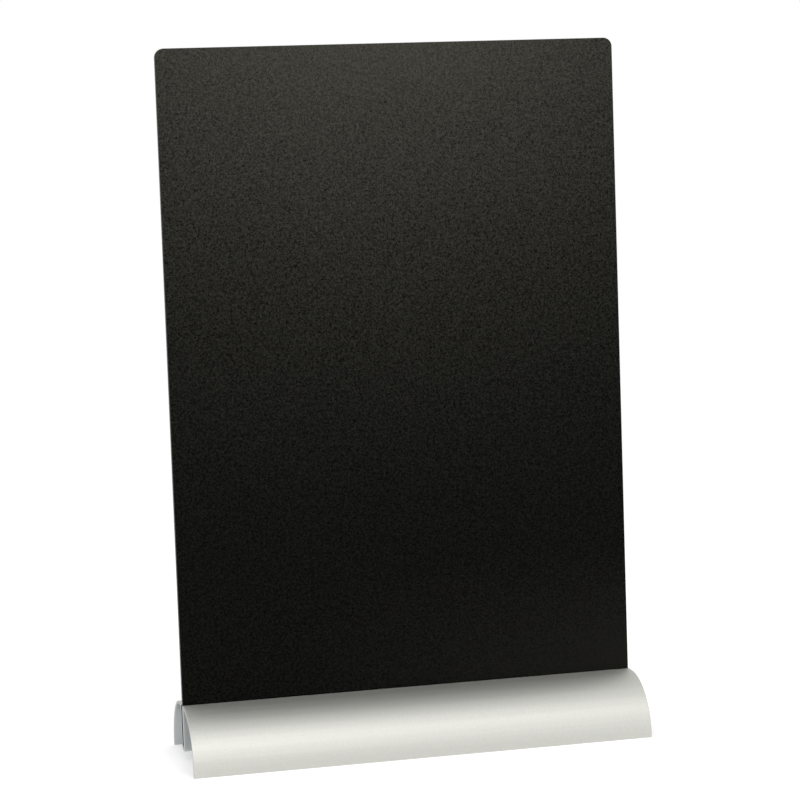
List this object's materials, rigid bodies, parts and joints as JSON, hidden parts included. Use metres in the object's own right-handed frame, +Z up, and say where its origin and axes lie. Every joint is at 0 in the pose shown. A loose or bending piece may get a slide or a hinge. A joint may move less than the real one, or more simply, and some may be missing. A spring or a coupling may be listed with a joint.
{
  "type": "tabletop chalkboard",
  "caption": "Tabletop chalkboard: a thin black board with round corners stands upright in the slot of a curved, open-ended aluminium base. Both faces are for writing.",
  "frame": {"origin": "on the table, under the middle of the base, which is also the bottom centre of the whole object", "axes": "+X along the width of the board, -Y towards the front, +Z up"},
  "size_m": [0.2106, 0.066, 0.3189],
  "materials": {
    "satin_anodised_aluminium": "satin anodised, fine lines along the extrusion",
    "black_writing_surface": "matte, finely grained"
  },
  "bodies": {
    "base": {"base": "satin_anodised_aluminium"},
    "board": {"board": "black_writing_surface"}
  },
  "joints": [
    {"name": "board_lift", "type": "slide", "parent": "base", "child": "board", "axis": [0, 0, 1], "range_m": [0, 0.03]}
  ]
}
